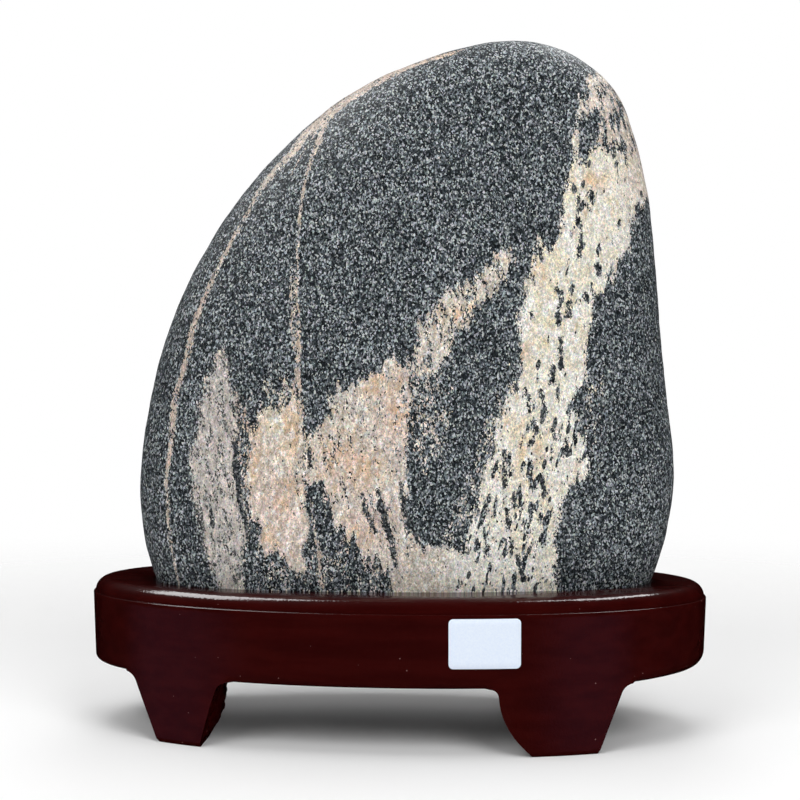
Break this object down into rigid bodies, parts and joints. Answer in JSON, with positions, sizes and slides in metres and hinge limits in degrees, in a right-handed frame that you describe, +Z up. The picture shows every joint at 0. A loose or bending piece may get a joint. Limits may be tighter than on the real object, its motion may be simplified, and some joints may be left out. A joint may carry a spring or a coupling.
{
  "type": "scholars rock",
  "caption": "Upright dark grained scholars rock with pale veins, seated in a dark red lacquered oval wooden stand with carved legs and a blank label.",
  "frame": {"origin": "centre of the stand on the plane of its feet", "axes": "+X along the stand to the right of the front view, the front faces -Y, +Z up"},
  "size_m": [0.2784, 0.124, 0.3074],
  "materials": {
    "grained_stone": "satin",
    "red_lacquered_wood": "gloss",
    "white_label_paper": "satin"
  },
  "bodies": {
    "root": {"stone": "grained_stone", "stand": "red_lacquered_wood", "blank_label": "white_label_paper"}
  },
  "joints": []
}
